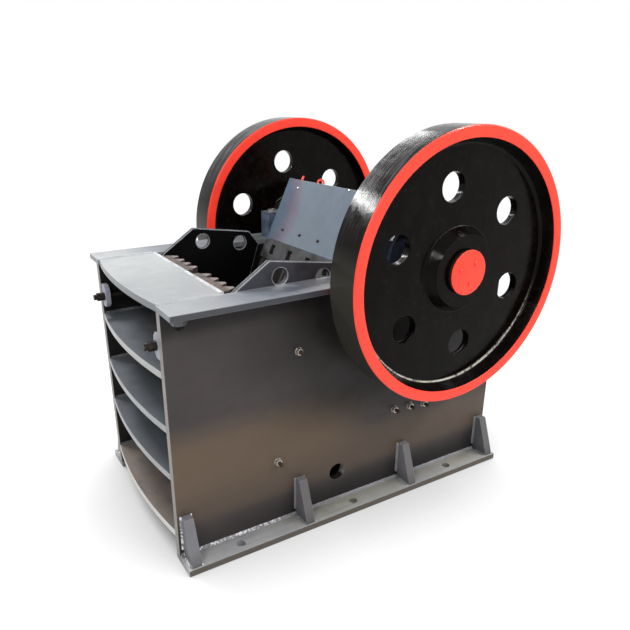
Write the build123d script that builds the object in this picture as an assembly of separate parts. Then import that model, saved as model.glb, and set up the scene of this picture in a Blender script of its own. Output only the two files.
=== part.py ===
"""Single-toggle jaw crusher with a welded plate frame, in millimetres.

+X runs along the eccentric shaft towards the right-hand flywheel, +Y runs from the ribbed
front to the toggle end, +Z is up. The origin lies on the floor, at the middle of the foot
bolt pattern. Distances "from the front" start at the front edge of the side plates.
"""
from build123d import *
from math import cos, hypot, radians, sin, tan
import os

# Frame plates
frame_length = 1500.0
frame_width = 750.0
frame_height = 963.0
side_plate = 32.0
foot_plate = 25.0
foot_overhang = 92.0
top_flange = 20.0
top_flange_overhang = 98.0

# Anchor bolt holes in the foot flanges, in from the front and rear edges
foot_bolt_rows = 3
foot_bolt_first = 220.0
foot_bolt_last = 260.0
foot_bolt_out = 49.0
foot_bolt_hole_r = 17.0

# Gussets: one at each end of the foot flange and one between each pair of bolt rows
gusset_thickness = 36.0
gusset_end_margin = 15.0
gusset_offset = 27.0
gusset_height = 166.0
gusset_top_depth = 30.0
gusset_foot_margin = 6.0
gusset_toe = 14.0
gusset_snipe = 22.0

# Front wall, the bowed ribs ahead of it and the bowed top plate
front_wall = 46.0
front_wall_back = 236.0
rib_plate = 25.0
rib_bow = 28.0
rib_tops = (738.0, 538.0, 352.0, 117.0)
top_plate = 25.0
top_plate_back = 230.0
top_plate_set_back = 6.0

# Brackets inside the top bay, and the wedge bolts that run through them to the front wall
bracket_width = 53.0
bracket_height = 90.0
bracket_drop = 98.0
bracket_thickness = 20.0
bracket_set_back = 2.0
bracket_bevel = 18.0
wedge_bolt_in = 31.0
wedge_bolt_r = 11.0
wedge_bolt_tip = 40.0
wedge_nut_r = 17.0
wedge_nut_length = 30.0

# Shaft, journals and the throw of the eccentric
shaft_rise = 26.0
throw = 10.0
eccentric_r = 82.0
journal_r = 65.0
shaft_end_r = 55.0
shoulder_gap = 6.0
running_gap = 0.05

# Bearing housings: a base let into the side plate and a bolted cap
housing_r = 180.0
housing_in = 33.0
housing_out = 43.0
housing_bevel = 7.0
housing_ear = 250.0
housing_ear_rise = 89.0
seat_gap = 0.5
cover_r = 120.0
cover_thickness = 14.0
cover_gap = 1.0

# Flywheels
wheel_r = 485.0
wheel_width = 135.0
wheel_gap = 35.0
rim_depth = 40.0
rim_slope = 16.0
rim_chamfer = 4.0
rim_fillet = 14.0
web_outer_recess = 52.0
web_inner_recess = 52.0
hub_r = 129.0
hub_bevel = 25.0
hub_fillet = 12.0
hub_face_recess = 12.0
hub_inner_r = 125.0
hub_inner_bevel = 8.0
hub_inner_reach = 30.0
web_hole_count = 6
web_hole_r = 50.5
web_hole_circle = 291.0
web_hole_turn = 39.5
cap_r = 80.0
cap_thickness = 12.0
cap_edge = 3.0
cap_collar_r = 76.0

# Crushing gap between the lowest tooth crests, and its height above the floor
closed_setting = 64.2
discharge_height = 200.5

# Swing jaw, laid out from the shaft axis: back from it, and up along the jaw's lean
lean = 25.1
crest_reach = 259.0
jaw_plate = 78.0
jaw_side_gap = 26.0
clamp_drop = 130.0
clamp_height = 84.0
clamp_jaw_gap = 3.0
barrel_r = 172.0
barrel_inset = 7.0
pitman_wall = 52.0
pitman_web = 34.0
pitman_web_count = 4
pitman_web_drop = 60.0
pitman_web_back = 155.0
foot_lift = 6.0
foot_depth = 150.0
foot_face = 120.0
foot_slope = 60.0

# Jaw teeth: both plates carry the same row
tooth_count = 9
tooth_depth = 30.0
tooth_crest = 17.0
tooth_root = 13.0
fixed_jaw_drop = 7.0
fixed_jaw_bottom = 190.0
fixed_jaw_plate = 71.0
lift_notch_width = 56.0
lift_notch_height = 90.0
jaw_ledge = 40.0
jaw_ledge_depth = 54.0

# Clamp bar over the moving jaw plate, with a row of square bolt recesses
clamp_recess_count = 4
clamp_recess_margin = 80.0
clamp_recess_width = 34.0
clamp_recess_height = 44.0
clamp_recess_depth = 22.0

# Guard plate over the head of the swing jaw, its rail and the legs on the barrel
guard_inset = 5.0
guard_top = 147.0
guard_drop = 128.0
guard_plate = 12.0
guard_rail = 38.0
guard_rail_drop = 12.0
guard_leg = 24.0
guard_leg_inset = 100.0
guard_leg_bottom = 20.0

# Lifting eyes on the rail, in from the left edge of the guard plate, and how far each is turned
eye_insets = (55.0, 200.0)
eye_turns = (-33.0, 57.0)
eye_ring_r = 12.5
eye_wire_r = 4.0
eye_bevel = 2.0
eye_shank_r = 5.0
eye_rise = 22.0

# Cheek plates lining the mouth, each with a raised ear and two holes
cheek_plate = 20.0
cheek_behind_wall = 7.0
cheek_bottom = 230.0
cheek_bottom_run = 159.0
cheek_shoulder = 29.0
cheek_knee = 203.0
cheek_heel = 13.0
cheek_ear_start = 32.0
cheek_ear_slope_run = 130.0
cheek_ear_height = 87.0
cheek_ear_top_run = 262.0
cheek_ear_top_fall = 40.0
cheek_heel_run = 45.0
cheek_hole_r = 30.0
cheek_front_hole_in = 39.0
cheek_rear_hole_in = 47.0
cheek_hole_down = 53.0

# Toggle plate, the grooves it leans in, and the block and shims behind it
toggle_thickness = 40.0
toggle_inset = 50.0
toggle_tilt = 14.0
toggle_seat_up = 80.0
toggle_seat_in = 14.0
pivot_clearance = 6.0
block_depth = 140.0
block_height = 104.0
block_end_gap = 1.0
groove_gap = 0.3
shim_count = 3
shim_plate = 12.0
shim_gap = 0.3
shim_half_width = 200.0
shim_lug_width = 90.0
shim_lug_rise = 52.0
shim_hole_r = 15.0
rail_height = 36.0
rail_depth = 45.0
rail_lead = 60.0

# Rear wall with its ribs, and the hollow beam ahead of it that takes the toggle's push
rear_bay = 165.0
rear_wall = 25.0
rear_ribs_above_rods = (550.0, 360.0, 172.0)
rear_rib_set_back = 6.0
beam_depth = 130.0
beam_height = 250.0
beam_above_toggle = 40.0
beam_front_wall = 40.0
beam_wall = 25.0

# Tension rods: eyes round the pins under the jaw's foot, springs behind the rear wall
rod_place = 150.0
rod_r = 14.0
rod_wall_gap = 3.0
rod_eye_hole_r = 24.0
rod_eye_r = 36.0
rod_eye_width = 26.0
rod_pin_r = 9.0
lug_reach = 56.0
lug_drop = 6.0
lug_plate = 18.0
lug_side_gap = 4.0
lug_r = 20.0
lug_root = 25.0
washer_r = 36.0
washer_thickness = 8.0
washer_gap = 0.4
spring_length = 92.0
spring_turns = 6
spring_wire_r = 5.0
spring_r = 26.0
spring_end_gap = 0.3
nut_r = 25.0
nut_length = 20.0
nut_count = 2
rod_end = 10.0

# Round hole low in each side plate
pin_hole_r = 36.0
pin_hole_from_front = 681.0
pin_hole_height = 152.0

# How far a cutting tool runs past the face that it cuts
past = 1.0

foot_bolt_pitch = (frame_length - foot_bolt_first - foot_bolt_last) / (foot_bolt_rows - 1)
front_y = -(foot_bolt_first + foot_bolt_pitch * (foot_bolt_rows - 1) / 2)
rear_y = front_y + frame_length
half_out = frame_width / 2
half_in = half_out - side_plate
foot_out = half_out + foot_overhang
flange_out = half_out + top_flange_overhang
plate_top = frame_height - top_flange
wall_back = front_y + front_wall_back
wall_front = wall_back - front_wall

shaft_height = frame_height + shaft_rise
jaw_bottom = -(shaft_height + crest_reach * sin(radians(lean)) - discharge_height) / cos(radians(lean))
crest_to_shaft = crest_reach * cos(radians(lean)) - jaw_bottom * sin(radians(lean))
shaft_y = wall_back + fixed_jaw_plate + closed_setting + crest_to_shaft
eccentric_height = shaft_height - throw
housing_inner_face = half_in - housing_in
housing_outer_face = half_out + housing_out
cover_outer_face = housing_outer_face + cover_thickness
hub_start = cover_outer_face + wheel_gap
wheel_inner_face = hub_start + hub_inner_reach
wheel_outer_face = wheel_inner_face + wheel_width
hub_face = wheel_outer_face - hub_face_recess

jaw_half_width = half_in - cheek_plate - jaw_side_gap
pitman_half_width = jaw_half_width - barrel_inset
guard_half_width = pitman_half_width - guard_inset
toggle_half_width = pitman_half_width - toggle_inset
tooth_pitch = 2 * jaw_half_width / tooth_count
jaw_back = -crest_reach + jaw_plate
clamp_top = -clamp_drop
clamp_bottom = clamp_top - clamp_height
jaw_top = clamp_bottom - clamp_jaw_gap
guard_bottom = -guard_drop
foot_bottom = jaw_bottom + foot_lift
foot_back = jaw_back + foot_depth
guard_back = -crest_reach + guard_plate
guard_rail_top = guard_top - guard_rail_drop

rear_wall_front = rear_y - rear_bay - rear_wall
beam_front = rear_wall_front - beam_depth
block_back = beam_front - shim_count * (shim_plate + shim_gap) - shim_gap
block_front = block_back - block_depth


def jaw_point(back, up):
    """Y and Z of a point given back from the shaft axis and up along the jaw's lean."""
    tilt = radians(lean)
    y = shaft_y + back * cos(tilt) + up * sin(tilt)
    return y, shaft_height - back * sin(tilt) + up * cos(tilt)


toggle_front = jaw_point(foot_back - toggle_seat_in, jaw_bottom + toggle_seat_up)
toggle_run = block_front + toggle_seat_in - toggle_front[0]
toggle_rear = (toggle_front[0] + toggle_run, toggle_front[1] + toggle_run * tan(radians(toggle_tilt)))
block_bottom = toggle_rear[1] - block_height / 2
block_top = toggle_rear[1] + block_height / 2
beam_bottom = toggle_rear[1] + beam_above_toggle - beam_height / 2
rod_pin = jaw_point(foot_back + lug_reach, foot_bottom - lug_drop)
rod_height = rod_pin[1] + throw


def box(x, y, z):
    """Solid box between two corners, given as (low, high) along each axis."""
    size = (x[1] - x[0], y[1] - y[0], z[1] - z[0])
    middle = ((x[0] + x[1]) / 2, (y[0] + y[1]) / 2, (z[0] + z[1]) / 2)
    return Pos(*middle) * Box(*size)


def side_plane(x):
    """Plane facing +X at x, with local x along +Y and local y along +Z."""
    return Plane(origin=(x, 0, 0), x_dir=(0, 1, 0), z_dir=(1, 0, 0))


def jaw_plane(x):
    """Plane facing +X at x on the shaft axis: local x leans back, local y runs up the jaw."""
    back = (0, cos(radians(lean)), -sin(radians(lean)))
    return Plane(origin=(x, shaft_y, shaft_height), x_dir=back, z_dir=(1, 0, 0))


def extruded(plane, points, length):
    """Solid of a closed outline drawn on a plane."""
    return extrude(plane * make_face(Polyline(*points, close=True)), length)


def rod(x0, x1, r, y=shaft_y, z=shaft_height):
    """Round bar along X."""
    return extrude(side_plane(x0) * Pos(y, z) * Circle(r), x1 - x0)


def bar_back(x, y0, y1, z, r, sides=0):
    """Bar along Y: round, or with flat sides like a nut."""
    plane = Plane(origin=(x, y0, z), x_dir=(1, 0, 0), z_dir=(0, 1, 0))
    section = RegularPolygon(r, sides) if sides else Circle(r)
    return extrude(plane * section, y1 - y0)


def both(shape):
    """The right-hand shape with its mirror image on the left."""
    return {"right": shape, "left": mirror(shape, Plane.YZ)}


def pair(shape):
    """The right-hand shape and its mirror image as one piece."""
    return Compound([*shape.solids(), *mirror(shape, Plane.YZ).solids()])


def bowed_plate(top, thickness, back, set_back=0.0):
    """Plate between the side plates whose front edge bows forward."""
    left = (-half_in, front_y + set_back)
    right = (half_in, front_y + set_back)
    middle = (0, front_y + set_back - rib_bow)
    edge = ThreePointArc(left, middle, right)
    rest = Polyline(right, (half_in, back), (-half_in, back), left)
    face = Plane.XY.offset(top - thickness) * make_face(edge + rest)
    return extrude(face, thickness)


def side_plate_shape():
    """Side plate with the round bearing seat and the low round hole cut out."""
    plate = box((half_in, half_out), (front_y, rear_y), (foot_plate, plate_top))
    plate -= rod(half_in - past, half_out + past, housing_r + seat_gap)
    hole_y = front_y + pin_hole_from_front
    return plate - rod(half_in - past, half_out + past, pin_hole_r, hole_y, pin_hole_height)


def top_flange_shape():
    """Flange along the top of the side plate, in two lengths either side of the bearing."""
    flange = box((half_in, flange_out), (front_y, rear_y), (plate_top, frame_height))
    return flange - rod(half_in - past, flange_out + past, housing_r + seat_gap)


def foot_flange_shape():
    """Foot plate under the side plate with its row of anchor bolt holes."""
    foot = box((half_in, foot_out), (front_y, rear_y), (0, foot_plate))
    drill = Cylinder(foot_bolt_hole_r, 2 * (foot_plate + past))
    for row in range(foot_bolt_rows):
        y = front_y + foot_bolt_first + row * foot_bolt_pitch
        foot -= Pos(half_out + foot_bolt_out, y, 0) * drill
    return foot


def gusset_shapes():
    """Tapered gussets standing on the foot flange."""
    top = foot_plate + gusset_height
    toe = foot_out - gusset_foot_margin
    outline = [
        (half_out + gusset_snipe, foot_plate),
        (toe, foot_plate),
        (toe, foot_plate + gusset_toe),
        (half_out + gusset_top_depth, top),
        (half_out, top),
        (half_out, foot_plate + gusset_snipe),
    ]
    middles = [front_y + gusset_end_margin + gusset_thickness / 2]
    for row in range(foot_bolt_rows - 1):
        between = foot_bolt_first + foot_bolt_pitch * (row + 0.5)
        middles.append(front_y + between + gusset_offset)
    middles.append(rear_y - gusset_end_margin - gusset_thickness / 2)
    gussets = []
    for y in middles:
        plane = Plane(origin=(0, y - gusset_thickness / 2, 0), x_dir=(1, 0, 0), z_dir=(0, -1, 0))
        gussets.append(extruded(plane, outline, -gusset_thickness))
    return Compound(gussets)


def bracket_shape():
    """Bevelled bracket on the inner face of the side plate, drilled for the wedge bolt."""
    inner = half_in - bracket_width
    top = frame_height - bracket_drop
    bottom = top - bracket_height
    outline = [
        (half_in, bottom),
        (half_in, top),
        (inner + bracket_bevel, top),
        (inner, top - bracket_bevel),
        (inner, bottom + bracket_bevel),
        (inner + bracket_bevel, bottom),
    ]
    start = front_y + bracket_set_back
    plane = Plane(origin=(0, start, 0), x_dir=(1, 0, 0), z_dir=(0, -1, 0))
    bracket = extruded(plane, outline, -bracket_thickness)
    x, z = half_in - wedge_bolt_in, (top + bottom) / 2
    end = start + bracket_thickness
    return bracket - bar_back(x, start - past, end + past, z, wedge_bolt_r + seat_gap)


def wedge_bolt_shape():
    """Bolt from ahead of the bracket back to the front wall, with its long nut."""
    x = half_in - wedge_bolt_in
    z = frame_height - bracket_drop - bracket_height / 2
    bolt = bar_back(x, front_y - wedge_bolt_tip, wall_front, z, wedge_bolt_r)
    nut_end = front_y + bracket_set_back
    return bolt + bar_back(x, nut_end - wedge_nut_length, nut_end, z, wedge_nut_r, 6)


def tooth_outline(half_width, back, crest):
    """Outline of a toothed jaw plate: flat back, trapezoid teeth towards the crest line."""
    sign = 1 if crest > back else -1
    root = crest - sign * tooth_depth
    points = [(half_width, back), (-half_width, back), (-half_width, root)]
    first = -(tooth_count - 1) / 2 * tooth_pitch
    flank = (tooth_pitch - tooth_crest - tooth_root) / 2
    for tooth in range(tooth_count):
        x = first + tooth * tooth_pitch
        points.append((x - tooth_crest / 2 - flank, root))
        points.append((x - tooth_crest / 2, crest))
        points.append((x + tooth_crest / 2, crest))
        points.append((x + tooth_crest / 2 + flank, root))
    points.append((half_width, root))
    return points


def fixed_jaw_shape():
    """Fixed jaw plate, upright against the front wall, notched through in the middle for lifting."""
    crest = wall_back + fixed_jaw_plate
    top = frame_height - fixed_jaw_drop
    outline = tooth_outline(jaw_half_width, wall_back, crest)
    plate = extruded(Plane.XY.offset(fixed_jaw_bottom), outline, top - fixed_jaw_bottom)
    half_notch = lift_notch_width / 2
    deep = (wall_back - past, crest + past)
    return plate - box((-half_notch, half_notch), deep, (top - lift_notch_height, top + past))


def moving_jaw_shape():
    """Moving jaw plate on the leaning front of the swing jaw."""
    outline = tooth_outline(jaw_half_width, jaw_back, -crest_reach)
    up = (0, sin(radians(lean)), cos(radians(lean)))
    shaft_plane = Plane(origin=(0, shaft_y, shaft_height), x_dir=(1, 0, 0), z_dir=up)
    return extruded(shaft_plane.offset(jaw_bottom), outline, jaw_top - jaw_bottom)


def cheek_shape():
    """Cheek plate inside the side plate, with an ear above the mouth and two holes."""
    front = wall_back + cheek_behind_wall
    ear_front = front + cheek_ear_start + cheek_ear_slope_run
    ear_rear = ear_front + cheek_ear_top_run
    ear_top = frame_height + cheek_ear_height
    knee = frame_height - cheek_knee
    bottom_back = front + cheek_bottom_run
    outline = [
        (front, cheek_bottom),
        (front, frame_height - cheek_shoulder),
        (front + cheek_ear_start, frame_height),
        (ear_front, ear_top),
        (ear_rear, ear_top - cheek_ear_top_fall),
        (ear_rear + cheek_heel_run, frame_height - cheek_heel),
        (bottom_back + (knee - cheek_bottom) * tan(radians(lean)), knee),
        (bottom_back, cheek_bottom),
    ]
    plate = extruded(side_plane(half_in - cheek_plate), outline, cheek_plate)
    for y in (ear_front + cheek_front_hole_in, ear_rear - cheek_rear_hole_in):
        fall = cheek_ear_top_fall * (y - ear_front) / cheek_ear_top_run
        z = ear_top - fall - cheek_hole_down
        plate -= rod(half_in - cheek_plate - past, half_in + past, cheek_hole_r, y, z)
    return plate


def housing_shapes():
    """Bearing base let into the side plate, and the cap bolted down on it."""
    low, high = housing_inner_face, housing_outer_face
    barrel = rod(low, high, housing_r)
    barrel = chamfer(barrel.edges().filter_by(GeomType.CIRCLE), housing_bevel)
    span = (shaft_y - housing_ear, shaft_y + housing_ear)
    ears = box((half_in, high - housing_bevel), span, (frame_height, shaft_height + housing_ear_rise))
    whole = barrel + ears - rod(low - past, high + past, journal_r + running_gap)
    reach = (span[0] - past, span[1] + past)
    under = box((low - past, high + past), reach, (0, shaft_height))
    return whole & under, whole - under


def cover_shape():
    """Round cover on the outer face of the bearing housing."""
    cover = rod(housing_outer_face, cover_outer_face, cover_r)
    edge = cover.edges().filter_by(GeomType.CIRCLE).sort_by(Axis.X)[-1]
    cover = chamfer(edge, cap_edge)
    return cover - rod(housing_outer_face - past, cover_outer_face + past, journal_r + cover_gap)


def shaft_shape():
    """Shaft with its eccentric middle, hung at the bottom of its circle."""
    shoulder = housing_inner_face - shoulder_gap
    shaft = rod(-shoulder, shoulder, eccentric_r, shaft_y, eccentric_height)
    shaft += rod(-hub_start, hub_start, journal_r)
    return shaft + rod(-wheel_outer_face, wheel_outer_face, shaft_end_r)


def flywheel_shape():
    """Flywheel: rim, dished web with round holes, and a bevelled hub."""
    inner, outer = wheel_inner_face, wheel_outer_face
    web_out = outer - web_outer_recess
    web_in = inner + web_inner_recess
    rim_in = wheel_r - rim_depth
    corners = [
        (shaft_end_r, hub_start, 0),
        (hub_inner_r, hub_start, 0),
        (hub_inner_r + hub_inner_bevel, web_in, 0),
        (rim_in - rim_slope, web_in, rim_fillet),
        (rim_in, inner, 0),
        (wheel_r - rim_chamfer, inner, 0),
        (wheel_r, inner + rim_chamfer, 0),
        (wheel_r, outer - rim_chamfer, 0),
        (wheel_r - rim_chamfer, outer, 0),
        (rim_in, outer, 0),
        (rim_in - rim_slope, web_out, rim_fillet),
        (hub_r + hub_bevel, web_out, hub_fillet),
        (hub_r, hub_face, 0),
        (shaft_end_r, hub_face, 0),
    ]
    plane = Plane(origin=(0, shaft_y, shaft_height), x_dir=(0, 0, 1), z_dir=(0, 1, 0))
    radii = [corner[2] for corner in corners]
    profile = FilletPolyline(*[(r, x) for r, x, _ in corners], radius=radii, close=True)
    wheel = revolve(plane * make_face(profile), Axis((0, shaft_y, shaft_height), (1, 0, 0)), 360)
    for number in range(web_hole_count):
        angle = radians(web_hole_turn + number * 360 / web_hole_count)
        y = shaft_y + web_hole_circle * cos(angle)
        z = shaft_height + web_hole_circle * sin(angle)
        wheel -= rod(inner, outer, web_hole_r, y, z)
    return wheel


def hub_cap_shape():
    """Round cap bolted on the end of the shaft, with a collar that seats on the hub."""
    cap = rod(wheel_outer_face, wheel_outer_face + cap_thickness, cap_r)
    cap = chamfer(cap.edges().filter_by(GeomType.CIRCLE).sort_by(Axis.X)[-1], cap_edge)
    collar = rod(hub_face, wheel_outer_face, cap_collar_r)
    return cap + collar - rod(hub_face - past, wheel_outer_face, shaft_end_r + seat_gap)


def toggle_face(gap, drop=0.0):
    """Side outline of the toggle plate, grown by a gap all round and lowered by a drop."""
    run, rise = toggle_rear[0] - toggle_front[0], toggle_rear[1] - toggle_front[1]
    slot = SlotCenterToCenter(hypot(run, rise), toggle_thickness + 2 * gap)
    middle = Pos(toggle_front[0] + run / 2, toggle_front[1] + rise / 2 - drop)
    return middle * Rot(0, 0, toggle_tilt) * slot


def toggle_shape():
    """Toggle plate with rounded ends."""
    return extrude(side_plane(-toggle_half_width) * toggle_face(0), 2 * toggle_half_width)


def rod_lug_shape(x):
    """Pair of lug plates behind the jaw's foot with the pin that a tension rod hooks round."""
    pin = (foot_back + lug_reach, foot_bottom - lug_drop)
    root = jaw_back + foot_depth / 2
    outline = [
        (root, foot_bottom),
        (pin[0], pin[1] - lug_r),
        (pin[0], pin[1] + lug_r),
        (foot_back, foot_bottom + lug_root),
        (root, foot_bottom + lug_root),
    ]
    inner = rod_eye_width / 2 + lug_side_gap
    outer = inner + lug_plate
    lugs = rod(x - outer, x + outer, rod_pin_r, *rod_pin)
    for start in (x - outer, x + inner):
        lugs += extruded(jaw_plane(start), outline, lug_plate)
        lugs += rod(start, start + lug_plate, lug_r, *rod_pin)
    return lugs


def pitman_shape():
    """Swing jaw casting: barrel on the eccentric, front wall, rear webs, foot and rod lugs."""
    half = pitman_half_width
    wall_rear = jaw_back + pitman_wall
    wall = [
        (jaw_back, 0),
        (jaw_back, foot_bottom),
        (foot_back, foot_bottom),
        (foot_back, foot_bottom + foot_face),
        (wall_rear, foot_bottom + foot_face + foot_slope),
        (wall_rear, 0),
    ]
    body = rod(-half, half, barrel_r, shaft_y, eccentric_height)
    body += extruded(jaw_plane(-half), wall, 2 * half)
    web_root = jaw_back + pitman_wall / 2
    web = [
        (web_root, -pitman_web_drop),
        (pitman_web_back, -pitman_web_drop),
        (foot_back, foot_bottom + foot_face),
        (web_root, foot_bottom + foot_face / 2),
    ]
    pitch = (2 * half - pitman_web) / (pitman_web_count - 1)
    for number in range(pitman_web_count):
        body += extruded(jaw_plane(-half + number * pitch), web, pitman_web)
    for x in (-rod_place, rod_place):
        body += rod_lug_shape(x)
    sweep_room = throw + pivot_clearance
    groove = side_plane(-half - past) * toggle_face(sweep_room, throw)
    body -= extrude(groove, 2 * (half + past))
    return body - rod(-half - past, half + past, eccentric_r + running_gap, z=eccentric_height)


def clamp_bar_shape():
    """Bar that clamps the moving jaw plate, with square bolt recesses along its face."""
    half = pitman_half_width
    outline = [
        (-crest_reach, clamp_bottom),
        (-crest_reach, clamp_top),
        (jaw_back, clamp_top),
        (jaw_back, clamp_bottom),
    ]
    bar = extruded(jaw_plane(-half), outline, 2 * half)
    middle = (clamp_bottom + clamp_top) / 2
    low, high = middle - clamp_recess_height / 2, middle + clamp_recess_height / 2
    mouth, floor = -crest_reach - past, -crest_reach + clamp_recess_depth
    recess = [(mouth, low), (mouth, high), (floor, high), (floor, low)]
    first = -half + clamp_recess_margin
    pitch = -2 * first / (clamp_recess_count - 1)
    for number in range(clamp_recess_count):
        start = first + number * pitch - clamp_recess_width / 2
        bar -= extruded(jaw_plane(start), recess, clamp_recess_width)
    return bar


def guard_shape():
    """Flat guard plate ahead of the shaft barrel."""
    outline = [
        (-crest_reach, guard_bottom),
        (-crest_reach, guard_top),
        (guard_back, guard_top),
        (guard_back, guard_bottom),
    ]
    return extruded(jaw_plane(-guard_half_width), outline, 2 * guard_half_width)


def guard_bracket_shape():
    """Rail behind the top of the guard plate, on two legs that stand on the barrel."""
    rail_back = guard_back + guard_rail
    rail = [
        (guard_back, guard_rail_top - guard_rail),
        (guard_back, guard_rail_top),
        (rail_back, guard_rail_top),
        (rail_back, guard_rail_top - guard_rail),
    ]
    shape = extruded(jaw_plane(-guard_half_width), rail, 2 * guard_half_width)
    leg = [
        (guard_back, guard_leg_bottom),
        (guard_back, guard_rail_top - guard_rail / 2),
        (rail_back, guard_rail_top),
        (0, 0),
    ]
    place = guard_half_width - guard_leg_inset
    for x in (-place, place):
        shape += extruded(jaw_plane(x - guard_leg / 2), leg, guard_leg)
    return shape - rod(-half_in, half_in, barrel_r, z=eccentric_height)


def lifting_eye_shapes():
    """Ring eyes screwed into the rail behind the guard plate."""
    back = guard_back + guard_rail / 2
    eyes = []
    for inset, turn in zip(eye_insets, eye_turns):
        plane = jaw_plane(inset - guard_half_width)
        foot = plane.from_local_coords((back, guard_rail_top, 0))
        centre = plane.from_local_coords((back, guard_rail_top + eye_rise, 0))
        up = (centre - foot).normalized()
        shank = Plane(origin=foot, z_dir=up) * Circle(eye_shank_r)
        eye = extrude(shank, eye_rise - eye_ring_r)
        bore = plane.x_dir.rotate(Axis((0, 0, 0), up), turn)
        face = Plane(origin=centre - bore * eye_wire_r, x_dir=up, z_dir=bore)
        ring = extrude(face * Circle(eye_ring_r + eye_wire_r), 2 * eye_wire_r)
        ring = chamfer(ring.edges().filter_by(GeomType.CIRCLE), eye_bevel)
        hole = face.offset(-past) * Circle(eye_ring_r - eye_wire_r)
        eyes.append(ring + eye - extrude(hole, 2 * (eye_wire_r + past)))
    return Compound(eyes)


def toggle_block_shape():
    """Sliding block across the frame with the groove that the toggle leans in."""
    half = half_in - block_end_gap
    block = box((-half, half), (block_front, block_back), (block_bottom, block_top))
    groove = side_plane(-half - past) * toggle_face(groove_gap)
    return block - extrude(groove, 2 * (half + past))


def shim_shapes():
    """Shims between the block and the beam, each with a drilled lug to pull it by."""
    shims = []
    for number in range(shim_count):
        y = block_back + shim_gap + number * (shim_plate + shim_gap)
        thick = (y, y + shim_plate)
        shim = box((-shim_half_width, shim_half_width), thick, (block_bottom, block_top))
        half_lug = shim_lug_width / 2
        shim += box((-half_lug, half_lug), thick, (block_top - past, block_top + shim_lug_rise))
        hole_z = block_top + shim_lug_rise / 2
        shim -= bar_back(0, y - past, y + shim_plate + past, hole_z, shim_hole_r)
        shims.append(shim)
    return Compound(shims)


def toggle_rail_shapes():
    """Upper and lower guide rails that hold the block's ends against the side plates."""
    x = (half_in - rail_depth, half_in)
    y = (block_front - rail_lead, beam_front)
    upper = box(x, y, (block_top, block_top + rail_height))
    lower = box(x, y, (block_bottom - rail_height, block_bottom))
    return pair(Compound([upper, lower]))


def rear_beam_shape():
    """Hollow beam across the rear that takes the toggle's push."""
    y = (beam_front, rear_wall_front)
    z = (beam_bottom, beam_bottom + beam_height)
    beam = box((-half_in, half_in), y, z)
    inside = box(
        (-half_in - past, half_in + past),
        (y[0] + beam_front_wall, y[1] - beam_wall),
        (z[0] + beam_wall, z[1] - beam_wall),
    )
    return beam - inside


def rear_wall_shape():
    """Rear wall with straight ribs behind it, drilled for the tension rods."""
    across = (-half_in, half_in)
    back = rear_wall_front + rear_wall
    wall_top = rod_height + rear_ribs_above_rods[0]
    wall = box(across, (rear_wall_front, back), (0, wall_top))
    for rise in rear_ribs_above_rods:
        top = rod_height + rise
        wall += box(across, (back - past, rear_y - rear_rib_set_back), (top - rib_plate, top))
    hole_r = rod_r + rod_wall_gap
    for x in (-rod_place, rod_place):
        wall -= bar_back(x, rear_wall_front - past, back + past, rod_height, hole_r)
    return wall


def rod_stations():
    """Y of the front washer, the spring, the rear washer and the first nut."""
    wall = rear_wall_front + rear_wall
    spring = wall + washer_thickness
    washer = spring + spring_length
    return wall, spring, washer, washer + washer_thickness


def tension_rod_shape():
    """Tension rod with an eye in front and lock nuts behind its spring."""
    eye_y = rod_pin[0]
    first_nut = rod_stations()[3]
    end = first_nut + nut_count * nut_length + rod_end
    eye_start, eye_end = rod_place - rod_eye_width / 2, rod_place + rod_eye_width / 2
    shape = rod(eye_start, eye_end, rod_eye_r, eye_y, rod_height)
    shape += bar_back(rod_place, eye_y, end, rod_height, rod_r)
    shape -= rod(eye_start - past, eye_end + past, rod_eye_hole_r, eye_y, rod_height)
    for number in range(nut_count):
        start = first_nut + number * nut_length
        shape += bar_back(rod_place, start, start + nut_length, rod_height, nut_r, 6)
    return shape


def spring_shapes():
    """Coil spring between two washers, round the tail of the tension rod."""
    front, spring_y, rear, _ = rod_stations()
    washers = []
    for y in (front, rear):
        end = y + washer_thickness
        washer = bar_back(rod_place, y, end, rod_height, washer_r)
        hole = bar_back(rod_place, y - past, end + past, rod_height, rod_r + washer_gap)
        washers.append(washer - hole)
    inset = spring_wire_r + spring_end_gap
    height = spring_length - 2 * inset
    start = (rod_place, spring_y + inset, rod_height)
    coil = Helix(height / spring_turns, height, spring_r, start, (0, 1, 0))
    section = Plane(origin=coil @ 0, z_dir=coil % 0) * Circle(spring_wire_r)
    return Compound([*washers, sweep(section, path=coil, is_frenet=True)])


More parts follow.
